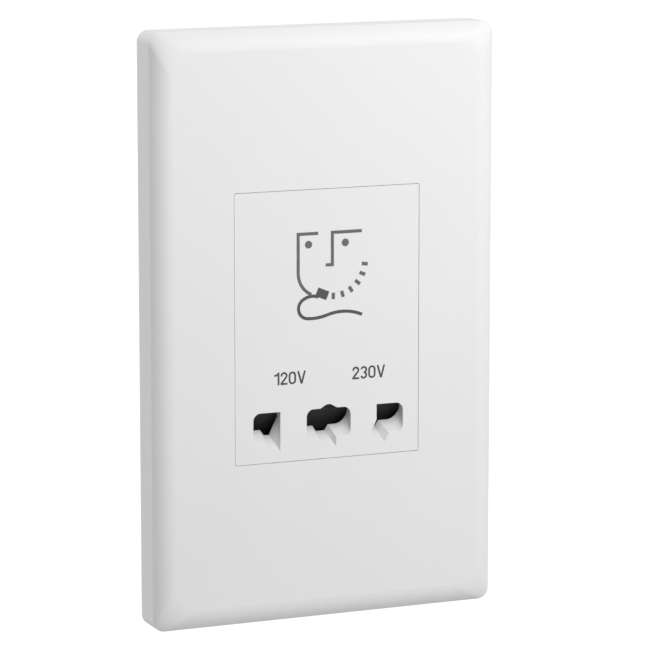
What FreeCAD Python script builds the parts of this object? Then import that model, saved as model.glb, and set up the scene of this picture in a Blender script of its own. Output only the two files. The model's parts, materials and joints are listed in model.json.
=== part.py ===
"""Shaver socket for a two-gang wall box, with its isolating transformer.

X is to the right, Y goes into the wall and Z is up. The origin is at the middle of the plate,
in the plane of the wall, so the face looks along -Y. All sizes are in millimetres.
"""
import FreeCAD, Part
import math
import os

from FreeCAD import Vector

# Front plate
PLATE_W = 90.0
PLATE_H = 146.0
SIDE_DEPTH = 8.1
BEVEL_W = 5.0
BEVEL_RISE = 2.5
BEVEL_STEPS = 5
PLATE_CORNER_R = 2.8
FACE_CORNER_R = 6.0
PLATE_FACE_T = 2.5
PLATE_WALL = 2.2
FACE_Y = -(SIDE_DEPTH + BEVEL_RISE)

# Socket panel, flush in the plate
PANEL_W = 48.6
PANEL_H = 66.6
PANEL_Z = 0.5
PANEL_R = 0.4
PANEL_SINK = 0.05
PANEL_T = 2.35
PANEL_GAP = 0.12
SKIRT_T = 1.4
SKIRT_INSET = 0.3
POST_R = 1.9
PANEL_FRONT_Y = FACE_Y + PANEL_SINK
PANEL_BACK_Y = PANEL_FRONT_Y + PANEL_T

# Pin apertures: places of their middles across the panel, and heights from the panel's middle
APERTURE_MID_X = 0.3
APERTURE_PITCH = 16.35
APERTURE_TOP = -20.85
SIDE_HOLE_W = 7.1
MID_HOLE_W = 11.7
HOLE_H = 7.5
HOLE_R = 1.9
THROAT_H = 4.55
THROAT_R = 0.5
THROAT_ROUND_R = 3.6
THROAT_TOP_R = 0.9
THROAT_KINK = 1.5
BUMP_W = 4.4
BUMP_RISE = 1.35
BUMP_R = 2.0

# Blade slots under the holes: how far they drop, and the places of their corners across,
# measured from the left hole's right side, the middle hole's middle and the right hole's left side
BLADE_DROP = 2.3
BLADE_HEEL = 0.7
THROAT_BLADE_DROP = 1.4
LEFT_BLADE = (-2.9, -4.1)
LEFT_BLADE_THROAT = (-2.1, -3.4, -4.5)
MID_BLADE = (2.0, -2.4, -3.2)
MID_BLADE_THROAT = (0.7, -0.2, -2.5, -3.4)
RIGHT_BLADE = (3.4, 2.1, -1.7)
RIGHT_BLADE_THROAT = (1.4, 0.5, -0.8)
KNEE_DROP = 3.8

# Clearances
FIT = 0.05
RUN = 0.3
CLIP_CLEAR = 0.4

# Steel mounting frame
SHEET_T = 1.5
FRAME_CORNER_R = 3.0
FRAME_CLEAR = 0.8
TAB_RISE = 5.0
TAB_W = 14.0
TAB_Z = 38.0
NIB_W = 9.0
NIB_H = 1.6
NIB_BITE = 2.4

# Screws to the wall box
BOX_SCREW_PITCH = 120.6
BOX_SCREW_R = 1.75
BOX_SCREW_L = 22.0
BOX_WAIST_R = 1.45
BOX_HEAD_R = 3.5
BOX_HEAD_H = 2.2
BOX_SLOT_L = 8.0
BOX_SLOT_CLEAR = 0.35
DRIVE_W = 0.9
DRIVE_DEPTH = 0.9

# Rear case
CASE_W = 54.0
CASE_TOP = 43.0
CASE_BOTTOM = -36.0
CASE_DEPTH = 34.0
CASE_WALL = 2.0
CASE_R = 2.5
CASE_RIM_R = 1.2
EAR_W = 6.5
EAR_L = 9.0
EAR_T = 2.5
EAR_Z = 27.0
RIB_COUNT = 7
RIB_W = 1.6
RIB_RISE = 0.8
RIB_PITCH = 5.6

# Small screws
SMALL_SCREW_R = 1.5
SMALL_HEAD_R = 2.7
SMALL_HEAD_H = 1.7
SCREW_OVERRUN = 1.0
CARRIER_SCREW_R = 1.1
CARRIER_HEAD_R = 2.1

# Shutter
SHUTTER_T = 5.2
SHUTTER_LIFT = 7.2
SHUTTER_TOP = -14.0
RAMP_LIP = 0.8
SHUTTER_MARGIN = 0.7
LEVER_PAD_W = 5.0
LEVER_PAD_RISE = 0.6

# Contact carrier and contacts
CARRIER_T = 2.5
CARRIER_TOP = 4.0
CONTACT_T = 0.5
CONTACT_H = 6.0
CONTACT_L = 12.0
CONTACT_HALF = 3.1
THROAT_HALF = 1.9
FLARE = 0.9
POCKET_WALL = 1.2
COVER_T = 2.0
TAIL_L = 4.0
TAIL_W = 3.0

# Return springs
SPRING_R = 1.8
SPRING_WIRE_R = 0.3
SPRING_TURNS = 7.0
SPRING_X = 16.0
SPRING_POCKET = 2.5
LEDGE_T = 2.0

# Microswitch
SWITCH_L = 19.8
SWITCH_H = 9.6
SWITCH_T = 5.4
SWITCH_PIN_PITCH = 9.5
SWITCH_PIN_R = 1.1
SWITCH_PIN_RISE = 1.6
LEVER_T = 0.5
LEVER_W = 4.0
LEVER_L = 17.5
LEVER_REST_DEG = 25.2
PIVOT_INSET = 1.6
PIVOT_DROP = 0.9
PIVOT_R = 0.4
LUG_W = 2.4
LUG_DROP = 0.75
PLUNGER_AT = 4.6
PLUNGER_W = 1.6
PLUNGER_TRAVEL = 1.5
PLUNGER_BURY = 2.5

# Isolating transformer
CORE_STACK = 14.0
CORE_SIDE_GAP = 2.2
CORE_TOP_GAP = 0.5
BOBBIN_WALL = 1.0
WINDOW_CLEAR = 0.35
COIL_R = 2.5
FLANGE_LIP = 0.6
BOLT_HOLE_CLEAR = 0.2
CUTOUT_W = 14.0
CUTOUT_H = 6.0
CUTOUT_T = 2.6

# Supply terminals and earth
BLOCK_W = 36.0
BLOCK_H = 13.0
BLOCK_T = 16.0
BLOCK_BACK = 31.0
BLOCK_CORNER_R = 1.2
BLOCK_EDGE_R = 0.8
TERMINAL_PITCH = 11.5
CAGE_W = 7.0
CAGE_H = 7.5
CAGE_T = 9.0
WIRE_HOLE_R = 1.6
TERMINAL_SCREW_R = 1.6
TERMINAL_HEAD_R = 2.6
TERMINAL_HEAD_H = 1.8
PEG_R = 1.5
PEG_L = 3.0
EARTH_SIDE_INSET = 12.0
EARTH_FOOT_INSET = 22.0
EARTH_X = PLATE_W / 2 - PLATE_WALL - FRAME_CLEAR - EARTH_SIDE_INSET
EARTH_Z = -(PLATE_H / 2 - PLATE_WALL - FRAME_CLEAR - EARTH_FOOT_INSET)
EARTH_W = 8.0
EARTH_T = 9.0
RIVET_R = 2.0
RIVET_HEAD_H = 0.8

# Secondary leads
LEAD_R = 0.8
LEAD_BEND_R = 2.4
LEAD_GAP = 0.1

# Core and coil, as large as the case and the core's window let them be
CORE_UNIT = (CASE_W - 2 * CASE_WALL - 2 * CORE_SIDE_GAP) / 6
CORE_Z = CASE_TOP - CASE_WALL - CORE_TOP_GAP - 2.5 * CORE_UNIT
FLANGE_GROW = CORE_UNIT - WINDOW_CLEAR
COIL_BUILD = FLANGE_GROW - FLANGE_LIP - BOBBIN_WALL - FIT
LEAD_Y = CASE_DEPTH - CASE_WALL - LEAD_GAP - LEAD_R
CORE_Y = LEAD_Y - LEAD_R - FIT - FLANGE_GROW - CORE_STACK / 2


def box(x_span, y_span, z_span):
    """Block between pairs of limits along X, Y and Z."""
    size = [span[1] - span[0] for span in (x_span, y_span, z_span)]
    return Part.makeBox(*size, Vector(x_span[0], y_span[0], z_span[0]))


def about(middle, width):
    """Pair of limits for a width about its middle."""
    return (middle - width / 2, middle + width / 2)


def rod_y(x, z, radius, y_span):
    """Cylinder along Y."""
    return Part.makeCylinder(radius, y_span[1] - y_span[0], Vector(x, y_span[0], z), Vector(0, 1, 0))


def rod_z(x, y, radius, z_span):
    """Cylinder along Z."""
    return Part.makeCylinder(radius, z_span[1] - z_span[0], Vector(x, y, z_span[0]), Vector(0, 0, 1))


def corner_arc(before, corner, after, radius):
    """Tangent arc that rounds one corner, as its start, middle and end."""
    to_before = (before - corner).normalize()
    to_after = (after - corner).normalize()
    half = to_before.getAngle(to_after) / 2
    reach = radius / math.tan(half)
    centre = corner + (to_before + to_after).normalize() * (radius / math.sin(half))
    middle = centre + (corner - centre).normalize() * radius
    return corner + to_before * reach, middle, corner + to_after * reach


def outline(corners, closed=True):
    """Wire through 3-D corners given as (point, radius), with tangent arcs at the radii."""
    count = len(corners)
    ends = []
    arcs = []
    for index, (point, radius) in enumerate(corners):
        inner = closed or 0 < index < count - 1
        if radius and inner:
            after = corners[(index + 1) % count][0]
            start, middle, end = corner_arc(corners[index - 1][0], point, after, radius)
            ends.append((start, end))
            arcs.append(Part.Arc(start, middle, end).toShape())
        else:
            ends.append((point, point))
            arcs.append(None)
    edges = []
    for index in range(count):
        if arcs[index]:
            edges.append(arcs[index])
        if closed or index < count - 1:
            edges.append(Part.LineSegment(ends[index][1], ends[(index + 1) % count][0]).toShape())
    return Part.Wire(edges)


def face_outline(corners, y):
    """Closed wire at one depth from corners given as (x, z, radius)."""
    return outline([(Vector(x, y, z), radius) for x, z, radius in corners])


def prism(corners, y_span):
    """Solid of one outline between two depths."""
    face = Part.Face(face_outline(corners, y_span[0]))
    return face.extrude(Vector(0, y_span[1] - y_span[0], 0))


def rounded_rect(x_span, z_span, radius):
    """Corners of a rectangle with one corner radius."""
    return [
        (x_span[0], z_span[1], radius),
        (x_span[1], z_span[1], radius),
        (x_span[1], z_span[0], radius),
        (x_span[0], z_span[0], radius),
    ]


def slot(x_middle, z_middle, length, radius, y_span):
    """Round-ended hole along X."""
    half = length / 2 - radius
    hole = box(about(x_middle, 2 * half), y_span, about(z_middle, 2 * radius))
    for side in (-half, half):
        hole = hole.fuse(rod_y(x_middle + side, z_middle, radius, y_span))
    return hole.removeSplitter()


def fuse_all(shapes):
    """One solid from touching shapes."""
    return shapes[0].multiFuse(shapes[1:]).removeSplitter()


def screw(x, z, radius, shank, head_r, head_h, seat_y, way):
    """Slotted cheese-head screw along Y: its head sits at seat_y and its shank runs the given way."""
    shank_span = sorted((seat_y, seat_y + way * shank))
    head_span = sorted((seat_y - way * head_h, seat_y))
    top = seat_y - way * head_h
    drive_span = sorted((top, top + way * DRIVE_DEPTH))
    drive = box(about(x, 2 * head_r + 2 * FIT), drive_span, about(z, DRIVE_W))
    return fuse_all([rod_y(x, z, radius, shank_span), rod_y(x, z, head_r, head_span)]).cut(drive)


def save(shape, node):
    """Write one node; a group of separate solids stays a group."""
    shape.exportStep("parts/" + node + ".step")


def bevel_levels():
    """Inset, depth and corner radius of the plate's outline, from the crisp edge to the flat face."""
    bend = 2 * math.atan2(BEVEL_RISE, BEVEL_W)
    radius = (BEVEL_W ** 2 + BEVEL_RISE ** 2) / (2 * BEVEL_RISE)
    levels = []
    for step in range(BEVEL_STEPS + 1):
        share = step / BEVEL_STEPS
        angle = bend * (1 - share)
        inset = BEVEL_W - radius * math.sin(angle)
        depth = FACE_Y + radius * (1 - math.cos(angle))
        corner_r = PLATE_CORNER_R + (FACE_CORNER_R - PLATE_CORNER_R) * share
        levels.append((inset, depth, corner_r))
    return levels


def frame_half_sizes():
    """Half width and half height of the steel frame inside the plate's walls."""
    return PLATE_W / 2 - PLATE_WALL - FRAME_CLEAR, PLATE_H / 2 - PLATE_WALL - FRAME_CLEAR


def nib_y():
    """Depth of the middle of the plate's clip nibs."""
    return -SHEET_T - TAB_RISE / 2


def build_front_plate():
    """Moulded plate: bevelled block, hollow behind, with the panel's aperture and four clip nibs."""
    wires = []
    for inset, depth, corner_r in bevel_levels():
        spans = about(0, PLATE_W - 2 * inset), about(0, PLATE_H - 2 * inset)
        wires.append(face_outline(rounded_rect(*spans, corner_r), depth))
    corners = rounded_rect(about(0, PLATE_W), about(0, PLATE_H), PLATE_CORNER_R)
    block = fuse_all([prism(corners, (-SIDE_DEPTH, 0)), Part.makeLoft(wires, True)])
    inner_w = PLATE_W - 2 * PLATE_WALL
    inner_h = PLATE_H - 2 * PLATE_WALL
    hollow = prism(rounded_rect(about(0, inner_w), about(0, inner_h), PLATE_WALL), (FACE_Y + PLATE_FACE_T, 0))
    hole_w = PANEL_W + 2 * PANEL_GAP
    hole_h = PANEL_H + 2 * PANEL_GAP
    hole_corners = rounded_rect(about(0, hole_w), about(PANEL_Z, hole_h), PANEL_R + PANEL_GAP)
    shell = block.cut(hollow).cut(prism(hole_corners, (FACE_Y, FACE_Y + PLATE_FACE_T)))
    root = PLATE_W / 2 - PLATE_WALL
    nibs = []
    for side in (-1, 1):
        for z in (-TAB_Z, TAB_Z):
            reach = sorted((side * (root + FIT), side * (root - NIB_BITE)))
            nibs.append(box(reach, about(nib_y(), NIB_H), about(z, NIB_W)))
    return fuse_all([shell] + nibs)


def aperture_spans():
    """Left and right limits of the three apertures."""
    left = about(APERTURE_MID_X - APERTURE_PITCH, SIDE_HOLE_W)
    middle = about(APERTURE_MID_X, MID_HOLE_W)
    right = about(APERTURE_MID_X + APERTURE_PITCH, SIDE_HOLE_W)
    return left, middle, right


def aperture_levels():
    """Heights of the top, the front bottom, the throat's bottom and the ends of the blade slots."""
    top = PANEL_Z + APERTURE_TOP
    bottom = top - HOLE_H
    throat = top - THROAT_H
    return top, bottom, throat, bottom - BLADE_DROP, throat - THROAT_BLADE_DROP


def left_aperture(front):
    """Round-pin hole with a blade slot at its lower right, as its front or its throat outline."""
    x_low, x_high = aperture_spans()[0]
    top, bottom, throat, blade, throat_blade = aperture_levels()
    if front:
        heel, foot = [x_high + offset for offset in LEFT_BLADE]
        return [
            (x_low, top, HOLE_R),
            (x_high, top, 0),
            (x_high, top - HOLE_R, 0),
            (x_high, blade, 0),
            (heel, bottom - BLADE_HEEL, 0),
            (foot, bottom, 0),
            (x_low, bottom, HOLE_R),
        ]
    tip, heel, foot = [x_high + offset for offset in LEFT_BLADE_THROAT]
    return [
        (x_low, top, HOLE_R),
        (x_high, top, 0),
        (x_high, top - THROAT_KINK, 0),
        (tip, throat_blade, 0),
        (heel, throat_blade, 0),
        (foot, throat, 0),
        (x_low, throat, THROAT_R),
    ]


def middle_aperture(front):
    """Wide hole that serves both pairs, with a bump over it and a blade slot under it."""
    x_low, x_high = aperture_spans()[1]
    top, bottom, throat, blade, throat_blade = aperture_levels()
    x_mid = APERTURE_MID_X
    crown = [
        (x_low, top, HOLE_R),
        (x_mid - BUMP_W / 2, top, 0),
        (x_mid, top + BUMP_RISE, BUMP_R),
        (x_mid + BUMP_W / 2, top, 0),
        (x_high, top, HOLE_R if front else THROAT_TOP_R),
    ]
    if front:
        side, heel, foot = [x_mid + offset for offset in MID_BLADE]
        return crown + [
            (x_high, bottom, HOLE_R),
            (side, bottom, 0),
            (side, blade, 0),
            (heel, bottom - FIT, 0),
            (foot, bottom, 0),
            (x_low, bottom, HOLE_R),
        ]
    side, tip, heel, foot = [x_mid + offset for offset in MID_BLADE_THROAT]
    return crown + [
        (x_high, throat, THROAT_ROUND_R),
        (side, throat, 0),
        (tip, throat_blade, 0),
        (heel, throat_blade, 0),
        (foot, throat, 0),
        (x_low, throat, THROAT_R),
    ]


def right_aperture(front):
    """Round-pin hole with a slanting blade slot at its lower left."""
    x_low, x_high = aperture_spans()[2]
    top, bottom, throat, blade, throat_blade = aperture_levels()
    knee = top - KNEE_DROP
    if front:
        side, tip, heel = [x_low + offset for offset in RIGHT_BLADE]
        return [
            (x_low, top, 0),
            (x_high, top, HOLE_R),
            (x_high, bottom, HOLE_R),
            (side, bottom, 0),
            (tip, blade, 0),
            (heel, bottom, 0),
            (x_low, knee, 0),
        ]
    side, tip, heel = [x_low + offset for offset in RIGHT_BLADE_THROAT]
    return [
        (x_low, top, 0),
        (x_high, top, THROAT_TOP_R),
        (x_high, throat, THROAT_ROUND_R),
        (side, throat, 0),
        (tip, throat_blade, 0),
        (heel, throat_blade, 0),
        (x_low, knee, 0),
    ]


def funnel(corners_of):
    """Aperture cut: the front outline narrowing to the throat at the panel's back."""
    wires = [face_outline(corners_of(True), PANEL_FRONT_Y), face_outline(corners_of(False), PANEL_BACK_Y)]
    return Part.makeLoft(wires, True, True)


def skirt_spans():
    """Outer limits of the panel's rear skirt."""
    width = PANEL_W - 2 * SKIRT_INSET
    height = PANEL_H - 2 * SKIRT_INSET
    return about(0, width), about(PANEL_Z, height)


def wedge_spans():
    """Limits across of the shutter's wedges, which cover the three throats."""
    left, middle, right = aperture_spans()
    reach = right[0] + min(RIGHT_BLADE_THROAT) - RUN
    return (
        (left[0] - SHUTTER_MARGIN, left[1] + SHUTTER_MARGIN),
        (middle[0] - SHUTTER_MARGIN, middle[1] + SHUTTER_MARGIN),
        (reach, right[1] + SHUTTER_MARGIN),
    )


def bar_bottom_z():
    """Underside of the shutter's guide bar, over the apertures."""
    return aperture_levels()[0] + BUMP_RISE


def post_places():
    """Places across and height of the panel's two posts, which stand between the wedges."""
    left, middle, right = wedge_spans()
    z = bar_bottom_z() - RUN - POST_R
    return [((left[1] + middle[0]) / 2, z), ((middle[1] + right[0]) / 2, z)]


def carrier_front_y():
    """Front face of the carrier plate, behind the shutter."""
    return PANEL_BACK_Y + RUN + SHUTTER_T + RUN


def build_socket_panel():
    """Flush panel with a rear skirt that seats on the frame, two posts and three funnel apertures."""
    x_span, z_span = skirt_spans()
    face_y = (PANEL_FRONT_Y, PANEL_BACK_Y)
    face = prism(rounded_rect(about(0, PANEL_W), about(PANEL_Z, PANEL_H), PANEL_R), face_y)
    skirt_y = (PANEL_BACK_Y, -SHEET_T)
    inner_x = (x_span[0] + SKIRT_T, x_span[1] - SKIRT_T)
    inner_z = (z_span[0] + SKIRT_T, z_span[1] - SKIRT_T)
    ring = box(x_span, skirt_y, z_span).cut(box(inner_x, skirt_y, inner_z))
    posts = [rod_y(x, z, POST_R, (PANEL_BACK_Y, carrier_front_y())) for x, z in post_places()]
    panel = fuse_all([face, ring] + posts)
    for x, z in post_places():
        panel = panel.cut(rod_y(x, z, CARRIER_SCREW_R + FIT, (PANEL_BACK_Y + FIT, carrier_front_y())))
    for corners_of in (left_aperture, middle_aperture, right_aperture):
        panel = panel.cut(funnel(corners_of))
    return panel


def window_spans():
    """Window of the frame: just inside the panel's skirt, so that the skirt seats round it."""
    x_span, z_span = skirt_spans()
    inset = SKIRT_T / 2
    return (x_span[0] + inset, x_span[1] - inset), (z_span[0] + inset, z_span[1] - inset)


def ear_places():
    """Middles of the case's four ears."""
    x = CASE_W / 2 + EAR_W / 2
    return [(side * x, z) for side in (-1, 1) for z in (-EAR_Z, EAR_Z)]


def build_mounting_frame():
    """Pressed steel frame with a window, slots for the box screws and four slotted clip tabs."""
    half_w, half_h = frame_half_sizes()
    sheet_y = (-SHEET_T, 0)
    sheet = prism(rounded_rect((-half_w, half_w), (-half_h, half_h), FRAME_CORNER_R), sheet_y)
    window_x, window_z = window_spans()
    sheet = sheet.cut(box(window_x, sheet_y, window_z))
    for side in (-1, 1):
        place = side * BOX_SCREW_PITCH / 2
        sheet = sheet.cut(slot(0, place, BOX_SLOT_L, BOX_SCREW_R + BOX_SLOT_CLEAR, sheet_y))
    for x, z in ear_places():
        sheet = sheet.cut(rod_y(x, z, SMALL_SCREW_R + FIT, sheet_y))
    sheet = sheet.cut(rod_y(EARTH_X, EARTH_Z, RIVET_R + FIT, sheet_y))
    tabs = []
    for side in (-1, 1):
        for z in (-TAB_Z, TAB_Z):
            x_span = sorted((side * half_w, side * (half_w - SHEET_T)))
            tab = box(x_span, (-SHEET_T - TAB_RISE, -SHEET_T), about(z, TAB_W))
            eye = box(x_span, about(nib_y(), NIB_H + 2 * FIT), about(z, NIB_W + 2 * CLIP_CLEAR))
            tabs.append(tab.cut(eye))
    return fuse_all([sheet] + tabs)


def build_box_screws():
    """The two captive screws to the wall box: a waist in the frame's slot, then the thread."""
    thread_y = (-FIT, BOX_SCREW_L - SHEET_T)
    screws = []
    for z in (-BOX_SCREW_PITCH / 2, BOX_SCREW_PITCH / 2):
        waisted = screw(0, z, BOX_WAIST_R, SHEET_T, BOX_HEAD_R, BOX_HEAD_H, -SHEET_T, 1)
        screws.append(fuse_all([waisted, rod_y(0, z, BOX_SCREW_R, thread_y)]))
    return Part.makeCompound(screws)


def core_sizes():
    """Width and height of the core, and its limits in Y."""
    return 6 * CORE_UNIT, 5 * CORE_UNIT, about(CORE_Y, CORE_STACK)


def bolt_places():
    """Corner holes of the core."""
    width, height, _ = core_sizes()
    x = width / 2 - CORE_UNIT / 2
    z = height / 2 - CORE_UNIT / 2
    return [(side * x, CORE_Z + level * z) for side in (-1, 1) for level in (-1, 1)]


def peg_places():
    """Pegs under the case that locate the terminal block."""
    y = BLOCK_BACK - BLOCK_T / 2
    return [(side * TERMINAL_PITCH / 2, y) for side in (-1, 1)]


def build_rear_case():
    """Tub behind the frame with ears, core pads, rear ribs and the pegs of the terminal block."""
    z_span = (CASE_BOTTOM, CASE_TOP)
    outer = prism(rounded_rect(about(0, CASE_W), z_span, CASE_R), (0, CASE_DEPTH))
    rim = [edge for edge in outer.Edges if edge.BoundBox.YMin > CASE_DEPTH - FIT]
    outer = outer.makeFillet(CASE_RIM_R, rim)
    inner_z = (CASE_BOTTOM + CASE_WALL, CASE_TOP - CASE_WALL)
    back_y = CASE_DEPTH - CASE_WALL
    inner_x = about(0, CASE_W - 2 * CASE_WALL)
    cavity = prism(rounded_rect(inner_x, inner_z, CASE_R - CASE_WALL / 2), (0, back_y))
    pieces = [outer.cut(cavity)]
    for x, z in ear_places():
        inward = -math.copysign(FIT, x)
        pieces.append(box(about(x + inward, EAR_W), (0, EAR_T), about(z, EAR_L)))
    core_back = core_sizes()[2][1]
    for x, z in bolt_places():
        pieces.append(rod_y(x, z, CORE_UNIT / 2, (core_back, back_y + FIT)))
    for index in range(RIB_COUNT):
        z = CORE_Z + (index - (RIB_COUNT - 1) / 2) * RIB_PITCH
        rib_w = CASE_W - 4 * CASE_R
        pieces.append(box(about(0, rib_w), (CASE_DEPTH - FIT, CASE_DEPTH + RIB_RISE), about(z, RIB_W)))
    for x, y in peg_places():
        pieces.append(rod_z(x, y, PEG_R, (CASE_BOTTOM - PEG_L, CASE_BOTTOM + FIT)))
    case = fuse_all(pieces)
    for x, z in ear_places():
        case = case.cut(rod_y(x, z, SMALL_SCREW_R + FIT, (0, EAR_T)))
    for x, z in bolt_places():
        case = case.cut(rod_y(x, z, SMALL_SCREW_R + FIT, (core_back, back_y)))
    return case


def build_case_screws():
    """Four screws through the case's ears into the frame."""
    shank = EAR_T + SHEET_T + SCREW_OVERRUN
    screws = [
        screw(x, z, SMALL_SCREW_R, shank, SMALL_HEAD_R, SMALL_HEAD_H, EAR_T, -1)
        for x, z in ear_places()
    ]
    return Part.makeCompound(screws)


def shutter_y():
    """Front and back of the shutter."""
    front = PANEL_BACK_Y + RUN
    return front, front + SHUTTER_T


def lever_tip_x():
    """Middle of the lever tip's path along the shutter's top."""
    rest = math.cos(math.radians(LEVER_REST_DEG))
    return lever_pivot().x + LEVER_L * (1 + rest) / 2


def build_shutter():
    """Black lifting shutter: a guide bar with a wedge behind each aperture that a pin pushes up."""
    front, back = shutter_y()
    top, _, _, _, throat_blade = aperture_levels()
    x_span, _ = skirt_spans()
    bar_x = (x_span[0] + SKIRT_T + RUN, x_span[1] - SKIRT_T - RUN)
    pad_z = (SHUTTER_TOP - FIT, SHUTTER_TOP + LEVER_PAD_RISE)
    pieces = [
        box(bar_x, (front, back), (bar_bottom_z(), SHUTTER_TOP)),
        box(about(lever_tip_x(), LEVER_PAD_W), (front, back), pad_z),
    ]
    tip = throat_blade - SHUTTER_MARGIN
    root = bar_bottom_z() + FIT
    for low, high in wedge_spans():
        side = [(front, root), (front, top - RAMP_LIP), (back - RAMP_LIP, tip), (back, tip), (back, root)]
        face = Part.Face(outline([(Vector(low, y, z), 0) for y, z in side]))
        pieces.append(face.extrude(Vector(high - low, 0, 0)))
    shutter = fuse_all(pieces)
    pocket_z = (SHUTTER_TOP - SPRING_POCKET, SHUTTER_TOP)
    for x in (-SPRING_X, SPRING_X):
        pocket = rod_z(x, (front + back) / 2, SPRING_R + SPRING_WIRE_R + RUN, pocket_z)
        shutter = shutter.cut(pocket)
    return shutter


def ledge_z():
    """Underside of the carrier's spring ledges."""
    return CARRIER_TOP - LEDGE_T


def build_shutter_springs():
    """Two return springs between the shutter's pockets and the carrier's ledges."""
    front, back = shutter_y()
    seat = SHUTTER_TOP - SPRING_POCKET + SPRING_WIRE_R + FIT
    length = ledge_z() - SPRING_WIRE_R - FIT - seat
    pitch = length / SPRING_TURNS
    along = Vector(0, 2 * math.pi * SPRING_R, pitch)
    springs = []
    for side in (-1, 1):
        path = Part.makeHelix(pitch, length, SPRING_R)
        ring = Part.Wire(Part.makeCircle(SPRING_WIRE_R, Vector(SPRING_R, 0, 0), along))
        spring = Part.Wire(path.Edges).makePipeShell([ring], True, True)
        spring.translate(Vector(side * SPRING_X, (front + back) / 2, seat))
        springs.append(spring)
    return Part.makeCompound(springs)


def contact_middles():
    """Middle and half width of the left, common and right contacts."""
    extra = (MID_HOLE_W - SIDE_HOLE_W) / 2
    return [
        (APERTURE_MID_X - APERTURE_PITCH, CONTACT_HALF),
        (APERTURE_MID_X, CONTACT_HALF + extra),
        (APERTURE_MID_X + APERTURE_PITCH, CONTACT_HALF),
    ]


def pin_z():
    """Height of the pins' middle."""
    return aperture_levels()[0] - THROAT_H / 2


def carrier_back_y():
    """Back face of the carrier plate."""
    return carrier_front_y() + CARRIER_T


def build_contact_carrier():
    """Black moulding behind the shutter: pin holes, contact pockets and two spring ledges."""
    x_span, z_span = skirt_spans()
    front = carrier_front_y()
    back = carrier_back_y()
    inset = SKIRT_T + RUN
    plate_x = (x_span[0] + inset, x_span[1] - inset)
    pieces = [box(plate_x, (front, back), (z_span[0] + inset, CARRIER_TOP))]
    pocket_y = (back - FIT, back + RUN + CONTACT_L)
    for middle, half in contact_middles():
        outer = 2 * (half + RUN + POCKET_WALL)
        pocket_z = about(pin_z(), CONTACT_H + 2 * (RUN + POCKET_WALL))
        pieces.append(box(about(middle, outer), pocket_y, pocket_z))
    ledge_y = (shutter_y()[0], front + FIT)
    for side in (-1, 1):
        ledge_x = about(side * SPRING_X, 2 * (SPRING_R + POCKET_WALL + RUN))
        pieces.append(box(ledge_x, ledge_y, (ledge_z(), CARRIER_TOP)))
    carrier = fuse_all(pieces)
    for middle, half in contact_middles():
        room_z = about(pin_z(), CONTACT_H + 2 * RUN)
        pocket = box(about(middle, 2 * (half + RUN)), (back, pocket_y[1]), room_z)
        hole = box(about(middle, 2 * (half - RUN)), (front, back), about(pin_z(), CONTACT_H))
        carrier = carrier.cut(pocket).cut(hole)
    for x, z in post_places():
        carrier = carrier.cut(rod_y(x, z, CARRIER_SCREW_R + FIT, (front, back)))
    for x, z in switch_pin_places():
        carrier = carrier.cut(rod_y(x, z, SWITCH_PIN_R + FIT, (front, back)))
    return carrier


def strip(points, thickness):
    """Outline of a bent strip of even thickness, from the (x, y) points of its middle line."""
    count = len(points)
    left = []
    right = []
    for index in range(count):
        before = points[max(index - 1, 0)]
        here = points[index]
        after = points[min(index + 1, count - 1)]
        first = (here - before) if index else (after - here)
        second = (after - here) if index < count - 1 else first
        first = Vector(first).normalize()
        second = Vector(second).normalize()
        normal_a = Vector(-first.y, first.x, 0)
        normal_b = Vector(-second.y, second.x, 0)
        mitre = (normal_a + normal_b).normalize()
        reach = thickness / 2 / mitre.dot(normal_b)
        left.append(here + mitre * reach)
        right.append(here - mitre * reach)
    return left + right[::-1]


def build_contact(middle, half):
    """Sprung contact: two leaves that narrow to a throat and flare again, with a rear web and a tail."""
    near = carrier_back_y() + RUN
    far = carrier_back_y() + RUN + CONTACT_L - CONTACT_T / 2
    throat = half - (CONTACT_HALF - THROAT_HALF)
    edge = half - CONTACT_T / 2
    span = far - near
    leaf = [
        Vector(throat + FLARE, near, 0),
        Vector(throat, near + span / 3, 0),
        Vector(edge, near + 2 * span / 3, 0),
        Vector(edge, far, 0),
    ]
    mirrored = [Vector(-point.x, point.y, 0) for point in leaf]
    corners = strip(leaf + mirrored[::-1], CONTACT_T)
    face = Part.Face(outline([(point, 0) for point in corners]))
    clip = face.extrude(Vector(0, 0, CONTACT_H))
    tail_y = (far, far + CONTACT_T / 2 + COVER_T + TAIL_L)
    tail = box(about(0, CONTACT_T), tail_y, about(CONTACT_H / 2, TAIL_W))
    contact = fuse_all([clip, tail])
    contact.translate(Vector(middle, 0, pin_z() - CONTACT_H / 2))
    return contact


def cover_front_y():
    """Front face of the contact cover, on the pockets' rims."""
    return carrier_back_y() + RUN + CONTACT_L


def build_contact_cover():
    """Plate that closes the contact pockets, with a slit for each tail."""
    ends = contact_middles()
    half = ends[2][1] + RUN + POCKET_WALL
    y_span = (cover_front_y(), cover_front_y() + COVER_T)
    x_span = (ends[0][0] - half, ends[2][0] + half)
    cover = box(x_span, y_span, about(pin_z(), CONTACT_H + 2 * (RUN + POCKET_WALL)))
    for middle, _ in ends:
        cover = cover.cut(box(about(middle, CONTACT_T + 2 * RUN), y_span, about(pin_z(), TAIL_W + 2 * RUN)))
    for x, z in post_places():
        cover = cover.cut(rod_y(x, z, CARRIER_SCREW_R + FIT, y_span))
    return cover


def build_carrier_screws():
    """Two long screws through the cover and the carrier into the panel's posts."""
    seat = cover_front_y() + COVER_T
    shank = seat - PANEL_BACK_Y - 2 * RUN
    screws = [
        screw(x, z, CARRIER_SCREW_R, shank, CARRIER_HEAD_R, SMALL_HEAD_H, seat, -1)
        for x, z in post_places()
    ]
    return Part.makeCompound(screws)


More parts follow.
